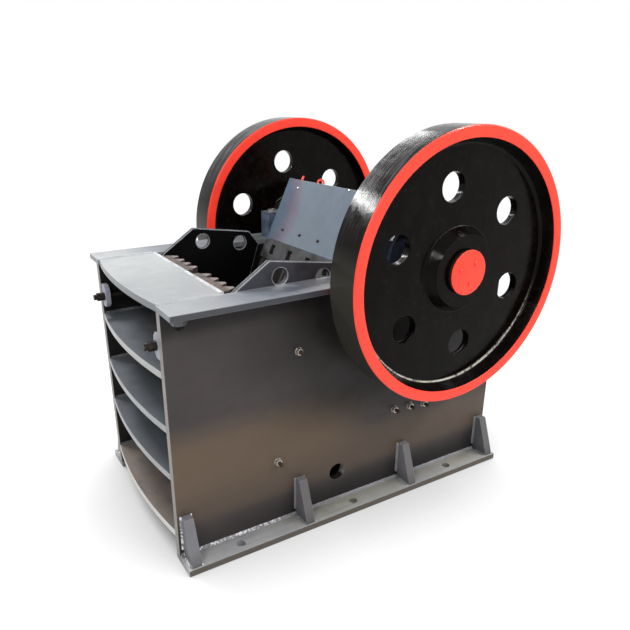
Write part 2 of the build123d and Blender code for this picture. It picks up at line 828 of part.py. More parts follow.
def build():
    """Every piece by its node name."""
    base, cap = housing_shapes()
    handed = {
        "side_plate": side_plate_shape(),
        "top_flange": top_flange_shape(),
        "foot_flange": foot_flange_shape(),
        "foot_gussets": gusset_shapes(),
        "cheek_plate": cheek_shape(),
        "bearing_base": base,
        "bearing_cap": cap,
        "bearing_cover": cover_shape(),
        "flywheel": flywheel_shape(),
        "hub_cap": hub_cap_shape(),
    }
    parts = {}
    for name, shape in handed.items():
        for side, piece in both(shape).items():
            parts[f"{name}_{side}"] = piece

    across = (-half_in, half_in)
    under_top = frame_height - top_plate
    parts["front_wall"] = box(across, (wall_front, wall_back), (0, under_top))
    for number, top in enumerate(rib_tops, start=1):
        parts[f"front_rib_{number}"] = bowed_plate(top, rib_plate, wall_front)
    top_back = front_y + top_plate_back
    parts["front_top_plate"] = bowed_plate(frame_height, top_plate, top_back, top_plate_set_back)
    parts["front_brackets"] = pair(bracket_shape())
    parts["front_wedge_bolts"] = pair(wedge_bolt_shape())
    parts["fixed_jaw_plate"] = fixed_jaw_shape()
    ledge_y = (wall_back, wall_back + jaw_ledge_depth)
    parts["fixed_jaw_ledge"] = box(across, ledge_y, (fixed_jaw_bottom - jaw_ledge, fixed_jaw_bottom))
    parts["eccentric_shaft"] = shaft_shape()
    parts["swing_jaw"] = pitman_shape()
    parts["moving_jaw_plate"] = moving_jaw_shape()
    parts["jaw_clamp_bar"] = clamp_bar_shape()
    parts["guard_plate"] = guard_shape()
    parts["guard_bracket"] = guard_bracket_shape()
    parts["lifting_eyes"] = lifting_eye_shapes()
    parts["toggle_plate"] = toggle_shape()
    parts["toggle_block"] = toggle_block_shape()
    parts["toggle_shims"] = shim_shapes()
    parts["toggle_rails"] = toggle_rail_shapes()
    parts["rear_beam"] = rear_beam_shape()
    parts["rear_wall"] = rear_wall_shape()
    parts["tension_rods"] = pair(tension_rod_shape())
    parts["tension_springs"] = pair(spring_shapes())
    return parts


os.makedirs("parts", exist_ok=True)
for name, shape in build().items():
    export_step(shape, f"parts/{name}.step")
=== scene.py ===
"""Jaw crusher: the finishes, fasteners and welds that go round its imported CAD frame.

Laid out as a Blender add-on. Everything is in metres in the frame's own axes: +X along the
eccentric shaft, +Y from the ribbed front to the toggle end, +Z up from the floor.
"""
import random
from math import cos, pi, radians, sin, tan

import bmesh
import bpy
from bpy.props import FloatProperty, FloatVectorProperty, PointerProperty
from mathutils import Matrix, Vector


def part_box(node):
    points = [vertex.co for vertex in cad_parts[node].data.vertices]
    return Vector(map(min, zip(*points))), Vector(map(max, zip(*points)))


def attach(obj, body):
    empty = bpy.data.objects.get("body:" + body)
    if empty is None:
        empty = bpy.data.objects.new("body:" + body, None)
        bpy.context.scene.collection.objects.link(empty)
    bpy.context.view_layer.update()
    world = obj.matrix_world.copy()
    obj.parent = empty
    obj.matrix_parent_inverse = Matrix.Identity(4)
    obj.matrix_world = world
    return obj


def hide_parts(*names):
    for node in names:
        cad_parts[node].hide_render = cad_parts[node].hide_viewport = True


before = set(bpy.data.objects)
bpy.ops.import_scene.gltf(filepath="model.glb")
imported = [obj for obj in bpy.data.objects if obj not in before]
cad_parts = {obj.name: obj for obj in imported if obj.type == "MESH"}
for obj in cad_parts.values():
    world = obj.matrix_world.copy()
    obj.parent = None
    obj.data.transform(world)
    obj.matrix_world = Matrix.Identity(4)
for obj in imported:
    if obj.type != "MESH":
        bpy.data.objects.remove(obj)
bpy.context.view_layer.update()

bl_info = {
    "name": "Jaw crusher finish",
    "version": (1, 0, 0),
    "blender": (4, 5, 0),
    "location": "View3D > Sidebar > Crusher",
    "description": "Dresses a jaw crusher's frame with paint, fasteners and weld beads",
    "category": "Object",
}

MM = 0.001
SIDES = {"right": 1, "left": -1}
FORWARD, BACKWARD, UP, DOWN = (0, -1, 0), (0, 1, 0), (0, 0, 1), (0, 0, -1)

# The welded frame: its ends, the two faces of the side plates, its levels and its ribs.
FRONT, REAR = -0.730, 0.770
PLATE_IN, PLATE_OUT = 0.343, 0.375
FOOT_TOP, FLANGE_UNDER, DECK = 0.025, 0.943, 0.963
TOP_PLATE_UNDER, MOUTH_FRONT = 0.938, -0.500
WALL_FRONT, REAR_WALL_BACK = -0.540, 0.605
RIB_TOPS, REAR_RIB_TOPS = (0.738, 0.538, 0.352, 0.117), (0.640, 0.450, 0.262)
RIB_PLATE = 0.025
GUSSET_FRONTS, GUSSET_PLATE = (-0.715, -0.245, 0.263, 0.719), 0.036

# The shaft's axis, the wheels on it, and how far the swing jaw leans back.
SHAFT_Y, SHAFT_Z = 0.29657, 0.989
RIM_WIDTH = 0.135
HUB_FACE, CAP_TOP, CAP_CIRCLE = 0.6205, 0.0181, 0.041
LEAN = radians(25.1)

# Edges that turn by more than this stay crisp on the fasteners, welds and bands.
CREASE = radians(32)


def linear(code):
    """Linear colour of an sRGB hex value."""
    channels = [int(code[i:i + 2], 16) / 255 for i in (0, 2, 4)]
    return [c / 12.92 if c <= 0.04045 else ((c + 0.055) / 1.055) ** 2.4 for c in channels] + [1]


def colour(name, code, description):
    """Colour property from an sRGB hex value."""
    return FloatVectorProperty(
        name=name, description=description, subtype="COLOR", size=4, min=0, max=1,
        default=linear(code))


def length(name, mm, description):
    """Length property from a size in millimetres."""
    return FloatProperty(
        name=name, description=description, unit="LENGTH", subtype="DISTANCE",
        min=0, default=mm * MM)


class CrusherPaint(bpy.types.PropertyGroup):
    """Colours of the machine's finishes."""
    # The side plates and the deck share one grey enamel: the side plates' colour is painted
    # darker as shade, the deck's paler as light from above.
    plate: colour("Side plate", "403b3a", "Grey enamel on the side plates")
    # Painted reflection: a warm glow low on the side plates, where the floor shows in the satin
    # enamel.
    warm: colour("Side plate, low", "5d4e40", "Browner tone low on the side plates")
    deck: colour("Top flange", "8f9294", "Grey enamel on the flange and top plate")
    # Painted shade: the ribs' colour is darkened for the shade in the bays.
    rib: colour("Ribs", "5c6065", "Grey enamel on the front ribs")
    wall: colour("Front wall", "7a8086", "Grey enamel in the bays behind the ribs")
    gusset: colour("Foot gussets", "75757b", "Lilac-grey enamel on the foot gussets")
    bracket: colour("Front brackets", "a3a5b0", "Pale enamel on the wedge bolts' brackets")
    foot: colour("Foot flange", "8e8f93", "Grey enamel on the foot flanges")
    guard: colour("Guard plate", "596877", "Blue-grey enamel on the guard plate")
    casting: colour("Swing jaw", "5c5d61", "Grey enamel on castings")
    clamp: colour("Clamp bar", "4a4b4d", "Greasy dark enamel on the clamp bar")
    cheek: colour("Cheek plate", "44464b", "Dark enamel on the cheek plates")
    housing: colour("Bearing housing", "33353b", "Dark enamel on the bearing housings")
    ear: colour("Housing ears", "6b7d96", "Blue-grey enamel on the housings' ears")
    weld: colour("Foot welds", "838387", "Enamel on the weld beads along the foot")
    seam: colour("Deck welds", "a6a8ab", "Bare scratched weld beads on the deck")
    dust: colour("Dust", "c9c9c2", "Pale stone dust that settles on upper faces")
    bare: colour("Worn edge", "b4b7ba", "Paint rubbed thin along edges")
    wheel: colour("Flywheel", "050302", "Gloss black enamel")
    red: colour("Red", "f53b27", "Red enamel on rims, hub caps and lifting eyes")
    manganese: colour("Jaw steel", "3c332f", "Cast manganese steel with its brown skin")
    tooth: colour("Tooth tips", "766a65", "Manganese steel rubbed pale at the teeth")
    rust: colour("Rust", "5a3a26", "Rust in corners and on bolt ends")


class CrusherFasteners(bpy.types.PropertyGroup):
    """Sizes of the bolts, nuts and welds."""
    side_stud: length("Side stud radius", 8, "Radius of the studs through the side plates")
    flange_stud: length("Flange stud radius", 15, "Radius of the studs under the top flange")
    ear_bolt: length("Ear bolt radius", 10, "Radius of the bolts in the housings' ears")
    cover_bolt: length("Cover bolt radius", 6, "Radius of the bolts in the bearing covers")
    weld_leg: length("Weld leg", 8, "Leg of the fillet welds between plates")
    ripple: length("Weld ripple", 5.5, "Distance between the ripples of a weld bead")


class CrusherStudio(bpy.types.PropertyGroup):
    """Camera and lights."""
    camera: FloatVectorProperty(
        name="Camera", description="Where the camera stands", subtype="TRANSLATION",
        unit="LENGTH", default=(2.0945, -1.2818, 1.5444))
    aim: FloatVectorProperty(
        name="Camera aim", description="Direction in which the camera looks",
        subtype="DIRECTION", default=(-0.80497, 0.46662, -0.36646))
    roll: FloatProperty(
        name="Camera roll", description="Turn of the camera about its aim",
        unit="ROTATION", default=radians(-0.406))
    lens: FloatProperty(name="Lens", description="Focal length", unit="CAMERA", default=34.93)
    shift: FloatVectorProperty(
        name="Lens shift", description="Sideways and upward shift, as shares of the picture",
        size=2, default=(0.04676, 0.04316))
    key: FloatProperty(
        name="Key light", description="Power of the large lamp overhead", unit="POWER",
        default=21)
    fill: FloatProperty(
        name="Fill light", description="Power of the lamp on the right", unit="POWER",
        default=25)
    ambient: FloatProperty(
        name="Ambient", description="Strength of the light from all round", default=0.48)


def settings(group):
    """One of the scene's property groups."""
    return getattr(bpy.context.scene, "crusher_" + group)


# Node trees

def add(tree, kind, inputs=None, **options):
    """Adds a shader node, sets its options, and fills or links its inputs."""
    node = tree.nodes.new("ShaderNode" + kind)
    for option, value in options.items():
        setattr(node, option, value)
    for key, value in (inputs or {}).items():
        if isinstance(value, bpy.types.NodeSocket):
            tree.links.new(value, node.inputs[key])
        else:
            node.inputs[key].default_value = value
    return node


def new_material(name):
    """Empty node material."""
    material = bpy.data.materials.new(name)
    material.use_nodes = True
    material.node_tree.nodes.clear()
    return material, material.node_tree


def patches(tree, mm, low, high, stretch=(1, 1, 1), detail=3):
    """Soft-edged random patches about mm across, as a mask from 0 to 1."""
    place = add(tree, "TexCoord").outputs["Object"]
    scaled = add(tree, "Mapping", {"Vector": place, "Scale": [1 / s for s in stretch]})
    noise = add(tree, "TexNoise", {
        "Vector": scaled.outputs[0], "Scale": 1 / (mm * MM), "Detail": detail,
        "Roughness": 0.55})
    mask = add(tree, "MapRange", {
        "Value": noise.outputs["Fac"], "From Min": low, "From Max": high},
        interpolation_type="SMOOTHSTEP")
    return mask.outputs[0]


def along(tree, axis, start, end, source="Object", mirrored=False):
    """Mask that rises from 0 at the start to 1 at the end along X, Y or Z of the machine, or
    of the way that the surface faces, where the source is its normal."""
    place = add(tree, "TexCoord").outputs[source]
    value = add(tree, "SeparateXYZ", {"Vector": place}).outputs[axis]
    if mirrored:
        value = add(tree, "Math", {0: value}, operation="ABSOLUTE").outputs[0]
    mask = add(tree, "MapRange", {"Value": value, "From Min": start, "From Max": end},
               interpolation_type="SMOOTHSTEP")
    return mask.outputs[0]


def around(tree, start, end):
    """Mask that rises from 0 to 1 between two distances from the shaft's axis."""
    place = add(tree, "TexCoord").outputs["Object"]
    centred = add(tree, "Mapping", {"Vector": place, "Location": (0, -SHAFT_Y, -SHAFT_Z)})
    flat = add(tree, "VectorMath", {0: centred.outputs[0], 1: (0, 1, 1)}, operation="MULTIPLY")
    radius = add(tree, "VectorMath", {0: flat.outputs[0]}, operation="LENGTH")
    mask = add(tree, "MapRange", {
        "Value": radius.outputs["Value"], "From Min": start, "From Max": end},
        interpolation_type="SMOOTHSTEP")
    return mask.outputs[0]


def edges(tree, mm, share=0.25):
    """Mask of the edges and corners within a few millimetres, where paint rubs thin or an
    edge gets a painted highlight.
    """
    rounded = add(tree, "Bevel", {"Radius": mm * MM}, samples=6)
    true = add(tree, "NewGeometry")
    agree = add(tree, "VectorMath", {0: rounded.outputs[0], 1: true.outputs["Normal"]},
                operation="DOT_PRODUCT")
    mask = add(tree, "MapRange", {
        "Value": agree.outputs["Value"], "From Min": 1.0, "From Max": 1.0 - share})
    return mask.outputs[0]


def layered(tree, base, *layers):
    """Colour of a base coat under thin layers: each is a tint, its strength and its masks."""
    tone = base
    for tint, strength, *masks in layers:
        share = strength
        for mask in masks:
            share = add(tree, "Math", {0: share, 1: mask}, operation="MULTIPLY").outputs[0]
        tint = linear(tint) if isinstance(tint, str) else list(tint)
        tone = add(tree, "MixRGB", {"Fac": share, "Color1": tone, "Color2": tint}).outputs[0]
    return tone


def relief(tree, mm, depth, strength, normal=None, stretch=(1, 1, 1)):
    """Bumps about mm across and depth millimetres deep, on top of any that normal has."""
    inputs = {"Height": patches(tree, mm, 0.25, 0.75, stretch, detail=2),
              "Distance": depth * MM, "Strength": strength}
    if normal:
        inputs["Normal"] = normal
    return add(tree, "Bump", inputs).outputs[0]


def finish(tree, tone, normal, mm, smooth, rough, **constants):
    """Shader whose roughness wanders between two values in patches about mm across."""
    wander = add(tree, "MapRange", {
        "Value": patches(tree, mm, 0.3, 0.7), "To Min": smooth, "To Max": rough})
    sockets = {name.replace("_", " "): value for name, value in constants.items()}
    shader = add(tree, "BsdfPrincipled", {
        "Base Color": tone, "Roughness": wander.outputs[0], "Normal": normal, **sockets})
    add(tree, "OutputMaterial", {"Surface": shader.outputs[0]})


# Finishes

def enamel(tree, base, *layers, dust=0.0, worn=0.5, smooth=0.36, rough=0.52, shine=0.22):
    """Alkyd machine enamel sprayed on hot-rolled plate: an even satin skin with orange peel
    and long shallow waves, slow changes of tone, short runs, dust on top and rubbed edges."""
    paint = settings("paint")
    darker = [c * 0.78 for c in base[:3]] + [1]
    coat = [(darker, 0.7, patches(tree, 320, 0.35, 0.7)),
            (darker, 0.45, patches(tree, 75, 0.45, 0.7)),
            (darker, 0.25, patches(tree, 14, 0.56, 0.8, stretch=(1, 1, 22))),
            *layers]
    if dust:
        coat.append((paint.dust, dust, along(tree, "Z", 0.55, 0.9, "Normal"),
                     patches(tree, 120, 0.15, 0.6)))
    coat.append((paint.bare, worn, edges(tree, 2.5)))
    normal = relief(tree, 170, 1.2, 0.35, relief(tree, 3.0, 0.12, 0.5))
    finish(tree, layered(tree, list(base), *coat), normal, 60, smooth, rough,
           Specular_IOR_Level=shine)


def side_plate_enamel():
    """Enamel on the side plates, painted darker than the deck as shade: warm and pale low
    down as a painted reflection of the floor, greyer above, painted shade towards the
    wheel, painted shadow under the flange, darker towards the foot, painted shade on the
    inner face and painted light on the front edge."""
    paint = settings("paint")
    material, tree = new_material("side plate enamel")
    enamel(tree, paint.plate,
           # Painted reflection of the floor: a warm glow in two bands low on the plate.
           (paint.warm, 0.95, along(tree, "Z", 0.16, 0.34), along(tree, "Z", 0.56, 0.42),
            along(tree, "Y", 0.16, -0.12)),
           (paint.warm, 0.55, along(tree, "Z", 0.10, 0.18), along(tree, "Z", 0.36, 0.28)),
           # Painted shade on the upper plate towards the wheel.
           ("151211", 0.90, along(tree, "Z", 0.32, 0.50), along(tree, "Y", -0.48, 0.08)),
           ("242120", 0.55, along(tree, "Z", 0.56, 0.72), along(tree, "Y", -0.62, -0.30)),
           ("1e1d1e", 0.80, along(tree, "Z", 0.18, 0.05), along(tree, "Y", -0.85, 0.10)),
           # Painted shadow under the flange's overhang.
           ("171413", 0.90, along(tree, "Z", 0.83, 0.90)),
           # Painted shade on the inner face, inside the frame.
           ("1a1918", 0.90, along(tree, "X", 0.374, 0.370, mirrored=True)),
           # Painted light on the faces that look forward.
           ("878481", 0.95, along(tree, "Y", -0.7, -0.95, "Normal")),
           worn=0.35)
    return material


def deck_enamel():
    """Enamel on the top flange and top plate: painted paler than the side plates as light from
    above and glossy enough to mirror the sky, lighter to the left as a painted reflection,
    bluish and darker towards the bearings as the wheels' painted shade, with dust that has
    been walked about and painted shade on the outer edge face."""
    material, tree = new_material("deck enamel")
    over_sides = along(tree, "X", 0.33, 0.36, mirrored=True)
    enamel(tree, settings("paint").deck,
           # Painted reflection: the deck is lighter to the left, where it mirrors the sky.
           ("74777c", 0.75, along(tree, "X", -0.25, 0.32)),
           # Painted shade of the wheels on the flanges, bluish, towards the bearings.
           ("4c525f", 0.92, along(tree, "Y", -0.64, -0.44), over_sides),
           ("6c7177", 0.80, along(tree, "Y", -0.34, -0.10), over_sides),
           # Painted shade on the flange's outer edge face.
           ("393b3f", 0.92, along(tree, "X", 0.466, 0.472, mirrored=True)),
           dust=0.12, worn=0.4, smooth=0.38, rough=0.52)
    return material


def rib_enamel():
    """Enamel on the ribs, painted darker as shade and darker still deeper into the bays, with
    painted light on the front faces; the lowest rib is brown in patches."""
    material, tree = new_material("rib enamel")
    lit_front = along(tree, "Y", -0.6, -0.9, "Normal")
    enamel(tree, settings("paint").rib,
           # Painted shade deeper into the bays.
           ("504f4e", 0.6, along(tree, "Y", -0.70, -0.56), along(tree, "Z", 0.30, 0.34)),
           ("7d7168", 0.80, along(tree, "Z", 0.24, 0.12), patches(tree, 60, 0.2, 0.5)),
           # Painted light on the faces that look forward, set by height for each rib.
           ("d5d4cf", 0.85, lit_front, along(tree, "Z", 0.2, 0.12)),
           ("a9aaac", 0.80, lit_front, along(tree, "Z", 0.12, 0.2)),
           ("b4b4b3", 0.60, lit_front, along(tree, "Z", 0.60, 0.66)),
           worn=0.6)
    return material


def gusset_enamel():
    """Enamel on the foot gussets: lilac-grey, browner on the outer faces of the rear ones
    and darker at the foot."""
    material, tree = new_material("gusset enamel")
    enamel(tree, settings("paint").gusset,
           ("57524f", 0.60, along(tree, "Y", -0.6, -0.2),
            along(tree, "X", 0.3, 0.8, "Normal", mirrored=True)),
           ("3a3734", 0.40, along(tree, "Z", 0.09, 0.03)),
           worn=0.7)
    return material


def foot_enamel():
    """Enamel on the foot flanges: grey, scuffed pale by boots towards the rim, greenish with
    damp from the middle back, brown on the outer edge where it meets the floor."""
    material, tree = new_material("foot enamel")
    enamel(tree, settings("paint").foot,
           ("747060", 0.80, along(tree, "Y", -0.45, -0.15), patches(tree, 110, 0.15, 0.5)),
           ("a8a8ab", 0.60, along(tree, "X", 0.40, 0.465, mirrored=True)),
           # Painted shade in the corner by the side plate.
           ("6c6a69", 0.70, along(tree, "X", 0.405, 0.385, mirrored=True)),
           ("4c4238", 0.9, along(tree, "X", 0.465, 0.467, mirrored=True)),
           dust=0.2, worn=0.5)
    return material


def plain_enamel(name, base, *tints, **options):
    """Enamel of one colour with mottled patches of other tints, as on the castings."""
    material, tree = new_material(name)
    spots = [(tint, 0.5, patches(tree, 45 + 30 * n, 0.45, 0.7)) for n, tint in enumerate(tints)]
    enamel(tree, base, *spots, **options)
    return material


def weld_enamel():
    """Enamel over the weld beads at the foot: grey, with white spots near the front that are
    painted highlights on the bead."""
    material, tree = new_material("weld enamel")
    enamel(tree, settings("paint").weld,
           ("5f5c5a", 0.5, patches(tree, 40, 0.45, 0.7)),
           # Painted highlights on the bead near the front.
           ("ecebf0", 0.9, patches(tree, 11, 0.48, 0.6), along(tree, "Y", -0.2, -0.45)),
           dust=0.1, smooth=0.22, rough=0.38)
    return material


def cheek_enamel():
    """Dark enamel on the cheek plates, black on the faces that look into the crushing chamber,
    partly stone and grease and partly painted shade, with a painted highlight along the
    thin upper edges."""
    paint = settings("paint")
    material, tree = new_material("cheek enamel")
    tone = layered(tree, list(paint.cheek),
                   ("2f2f34", 0.5, patches(tree, 60, 0.4, 0.7)),
                   # Painted shade, with stone and grease, on the faces inside the chamber.
                   ("030303", 0.97, along(tree, "X", 0.334, 0.326, mirrored=True)),
                   # Painted highlight along the upper edges.
                   ("ccd0d6", 0.95, edges(tree, 6.0, 0.12)))
    finish(tree, tone, relief(tree, 3.0, 0.12, 0.5), 60, 0.4, 0.6, Specular_IOR_Level=0.05)
    return material


def housing_enamel():
    """Dark enamel on the cast bearing housings, blue-grey and glossy on the planed ears."""
    paint = settings("paint")
    material, tree = new_material("housing enamel")
    enamel(tree, paint.housing,
           (paint.ear, 0.9, along(tree, "Z", 1.10, 1.06)),
           ("2c2a2b", 0.6, patches(tree, 60, 0.4, 0.7)),
           dust=0.12, smooth=0.26, rough=0.4)
    return material


def gloss_black_enamel():
    """Brushed gloss black enamel on sand-cast iron: brown-black and mirror-like, with fine
    brush strokes round the rim and the casting's grain just showing through; a pale painted
    highlight in the fillet inside the rim, a painted reflection in pale streaks on top of
    the rim, and a painted grey reflection round its lower half."""
    paint = settings("paint")
    material, tree = new_material("gloss black enamel")
    round_face = along(tree, "X", 0.30, 0.10, "Normal", mirrored=True)
    tone = layered(tree, list(paint.wheel),
                   ("100b09", 0.6, patches(tree, 70, 0.4, 0.7)),
                   ("1e1713", 0.35, patches(tree, 24, 0.55, 0.75)),
                   ("4c4744", 0.35, edges(tree, 2.0)),
                   # Painted highlight: a pale line in the fillet inside the rim, on the faces
                   # turned up.
                   ("cdc8bc", 0.95, along(tree, "Z", 0.10, 0.45, "Normal"),
                    around(tree, 0.4160, 0.4200), around(tree, 0.4295, 0.4255),
                    patches(tree, 12, 0.28, 0.55)),
                   # Painted reflection: grey round the lower half of the rim's tread.
                   ("3a3934", 0.75, around(tree, 0.474, 0.480), along(tree, "Z", 1.14, 1.00),
                    round_face),
                   # Painted reflection: pale streaks on the top of the rim's tread.
                   ("7d7a7b", 0.35, along(tree, "Z", 0.25, 0.80, "Normal"), round_face,
                    patches(tree, 30, 0.42, 0.68, stretch=(0.2, 4, 4))))
    # Strokes drawn 3 mm wide, as coarse as they need to be to show.
    strokes = relief(tree, 3, 0.25, 0.32, stretch=(1, 30, 30))
    normal = relief(tree, 34, 0.45, 0.35, relief(tree, 5, 0.15, 0.35, strokes))
    finish(tree, tone, normal, 30, 0.09, 0.24, Specular_IOR_Level=0.075)
    return material


def red_enamel():
    """Red gloss enamel laid on by brush: an even strong red, a little uneven in its shine,
    with a painted highlight along its edges.
    """
    paint = settings("paint")
    material, tree = new_material("red enamel")
    tone = layered(tree, list(paint.red),
                   ("d83322", 0.5, patches(tree, 55, 0.45, 0.75)),
                   # Painted highlight along the edges.
                   ("ff8f7c", 0.5, edges(tree, 1.5)))
    finish(tree, tone, relief(tree, 6, 0.12, 0.4), 30, 0.26, 0.42, Specular_IOR_Level=0.4)
    return material


def manganese_steel():
    """Cast austenitic manganese steel: a brown casting skin with sand grain, rubbed pale and
    pinkish tan where stone slides over the teeth, and painted nearly black as shade further
    into the mouth."""
    paint = settings("paint")
    material, tree = new_material("manganese steel")
    tone = layered(tree, list(paint.manganese),
                   ("503f33", 1.0, patches(tree, 35, 0.4, 0.7)),
                   ("25201e", 0.7, patches(tree, 16, 0.5, 0.7)),
                   (paint.tooth, 0.9, along(tree, "Z", 0.6, 0.95, "Normal"),
                    along(tree, "Y", -0.456, -0.440), patches(tree, 20, 0.2, 0.5)),
                   (paint.tooth, 0.85, edges(tree, 4.0)),
                   # Painted shade further into the mouth.
                   ("12100e", 0.92, along(tree, "Y", -0.41, -0.37)))
    normal = relief(tree, 18, 0.8, 0.5, relief(tree, 2.5, 0.3, 0.7))
    finish(tree, tone, normal, 25, 0.5, 0.75, Metallic=0.3)
    return material


def steel(name, code, smooth, rough, rust=0.0, metallic=1.0):
    """Bare steel from the lathe or the mill, oiled: tool marks, a dull shine, and rust where
    the oil has gone."""
    material, tree = new_material(name)
    base = linear(code)
    coat = [([c * 0.7 for c in base[:3]] + [1], 1.0, patches(tree, 20, 0.35, 0.7))]
    if rust:
        coat.append((settings("paint").rust, rust, patches(tree, 12, 0.5, 0.62, detail=5)))
    finish(tree, layered(tree, base, *coat), relief(tree, 1.6, 0.08, 0.6), 15, smooth, rough,
           Metallic=metallic)
    return material


# Mesh tools

def seat(origin, axis, turn=0.0):
    """Matrix that stands a part on a point with its own Z along an axis."""
    lean = Vector(axis).to_track_quat("Z", "Y").to_matrix().to_4x4()
    return Matrix.Translation(origin) @ lean @ Matrix.Rotation(turn, 4, "Z")


def skin(bm, sections, matrix=Matrix(), ring=False, finish=0):
    """Joins closed sections into one skin, capped at both ends or joined end to start."""
    rows = [[bm.verts.new(matrix @ Vector(point)) for point in row] for row in sections]
    made = []
    for near, far in zip(rows, rows[1:] + rows[:1] if ring else rows[1:]):
        for i in range(len(near)):
            j = (i + 1) % len(near)
            made.append(bm.faces.new((near[i], near[j], far[j], far[i])))
    if not ring:
        made += [bm.faces.new(rows[0][::-1]), bm.faces.new(rows[-1])]
    for face in made:
        face.material_index = finish


def circle(radius, height, count):
    """Points round a circle."""
    turns = [2 * pi * i / count for i in range(count)]
    return [(radius * cos(t), radius * sin(t), height) for t in turns]


def lathe(bm, matrix, profile, count, ring=False, finish=0):
    """Turned part from its profile, given as radii and heights, count being its corners."""
    skin(bm, [circle(radius, height, count) for radius, height in profile], matrix, ring, finish)


def washer(bm, matrix, inner, outer, thickness):
    """Flat washer with a broken edge."""
    edge = thickness * 0.2
    profile = [(inner, 0), (outer - edge, 0), (outer, edge), (outer, thickness - edge),
               (outer - edge, thickness), (inner, thickness)]
    lathe(bm, matrix, profile, 32, True)


def hexagon(bm, matrix, flat, height, bore=0.0):
    """Hexagon with its corners turned off, flat being half the spanner size: the head of a
    bolt, turned off on top, or with a bore a nut, turned off at both ends."""
    count = 36
    crown = flat * 0.93
    foot, head = [], []
    for i in range(count):
        t = 2 * pi * i / count
        r = flat / cos((t + pi / 6) % (pi / 3) - pi / 6)
        cut = (r - crown) * tan(radians(30))
        foot.append((r * cos(t), r * sin(t), cut if bore else 0))
        head.append((r * cos(t), r * sin(t), height - cut))
    rows = [foot, head, circle(crown, height, count)]
    if bore:
        rows = [circle(bore, 0, count), circle(crown, 0, count), *rows,
                circle(bore, height, count)]
    skin(bm, rows, matrix, bool(bore))


def stud(bm, matrix, radius, reach, pitch):
    """Stud end with a cut screw thread and a chamfered tip, in the second finish."""
    count, rows_per_turn = 24, 4
    foot = 0.5 * MM
    depth = pitch * 0.45
    total = max(2, round((reach - foot) / pitch * rows_per_turn))
    rows = []
    for step in range(total + 1):
        z = foot + (reach - foot) * step / total
        tip = max(0.0, z - (reach - 1.6 * depth))
        row = []
        for i in range(count):
            phase = (z / pitch - i / count) % 1
            cut = depth * (1 - abs(2 * phase - 1))
            r = min(radius - cut, radius - depth * 0.2 - tip)
            turn = 2 * pi * i / count
            row.append((r * cos(turn), r * sin(turn), z))
        rows.append(row)
    skin(bm, rows, matrix, finish=1)


def bead(bm, chance, start, end, first, second, leg, ripple):
    """Fillet weld bead in the corner between two faces, laid as a run of ripples."""
    # Across the bead's bulging face, as shares of its leg along the two faces.
    section = ((1, -0.05), (0.78, 0.29), (0.56, 0.56), (0.29, 0.78), (-0.05, 1))
    start, end, first, second = map(Vector, (start, end, first, second))
    run = end - start
    ahead = run.normalized()
    steps = max(4, round(run.length / ripple * 2))
    rows = []
    for step in range(steps + 1):
        size = leg * (0.94 + 0.13 * (step % 2) + chance.uniform(-0.06, 0.06))
        size *= 0.55 if step in (0, steps) else 1
        middle = start + run * step / steps
        row = [middle - (first + second) * leg * 0.1]
        for a, b in section:
            drag = ahead * ripple * 0.5 * (a * b) * 2
            row.append(middle + (first * a + second * b) * size - drag)
        rows.append(row)
    skin(bm, rows)


def rim_band(bm, matrix):
    """Red band painted on one side face of a rim, round its inner edge and over its small
    outer chamfer."""
    face, outer, chamfer, coat = 0.4811, 0.4848, 0.0037, 0.0005
    profile = [(0.4466, -0.0046), (0.4445, -0.0040), (0.4447, -0.0018), (0.4458, -0.0003),
               (0.4478, coat), (face, coat), (outer, -chamfer),
               (outer - 0.001, -chamfer - coat), (face, -chamfer)]
    lathe(bm, matrix, profile, 240, True)


def outer_face(node):
    """How far a node reaches from the machine's middle plane."""
    return max(abs(corner.x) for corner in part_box(node))


def round_shaft(radius, degrees):
    """Y and Z of a point on a circle round the shaft."""
    turn = radians(degrees)
    return SHAFT_Y + radius * cos(turn), SHAFT_Z + radius * sin(turn)


def jaw_point(x, back, up):
    """Point on the swing jaw, back from the shaft axis and up along the jaw's lean."""
    return Vector((x, SHAFT_Y + back * cos(LEAN) + up * sin(LEAN),
                   SHAFT_Z - back * sin(LEAN) + up * cos(LEAN)))


def bolted(bm, matrix, radius, grip, reach, pitch):
    """Washer and nut in the first finish, grip being the nut's height, on a stud end in the
    second that stands out by reach."""
    thick = radius * 0.28
    washer(bm, matrix, radius, radius * 1.95, thick)
    on = matrix @ Matrix.Translation((0, 0, thick))
    hexagon(bm, on, radius * 1.5, grip, radius * 1.01)
    stud(bm, matrix, radius, reach, pitch)


def piece(name, bm, materials, body):
    """New object from a finished mesh, riding on a body."""
    bmesh.ops.recalc_face_normals(bm, faces=bm.faces)
    mesh = bpy.data.meshes.new(name)
    bm.to_mesh(mesh)
    bm.free()
    for material in materials:
        mesh.materials.append(material)
    mesh.shade_smooth()
    mesh.set_sharp_from_angle(angle=CREASE)
    obj = bpy.data.objects.new(name, mesh)
    bpy.context.scene.collection.objects.link(obj)
    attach(obj, body)
    return obj


def cover_cap(bm, matrix):
    """Hub cap: a dark collar standing on the hub and a red disc with a rounded edge on it,
    in the first finish, the collar in the second."""
    lathe(bm, matrix, [(0.076, 0.0), (0.076, 0.0136)], 96, finish=1)
    disc = [(0.0785, 0.0134), (0.0796, 0.0139), (0.0800, 0.0147), (0.0800, 0.0158),
            (0.0795, 0.0171), (0.0783, 0.0179), (0.0768, CAP_TOP)]
    lathe(bm, matrix, disc, 96)


def domed_head(bm, matrix, radius, height, finish=0):
    """Round head of a rivet or a dome-headed screw."""
    dome = [(1.0, 0.0), (1.0, 0.3), (0.93, 0.58), (0.75, 0.82), (0.48, 0.95), (0.16, 1.0)]
    lathe(bm, matrix, [(radius * r, height * z) for r, z in dome], 28, finish=finish)


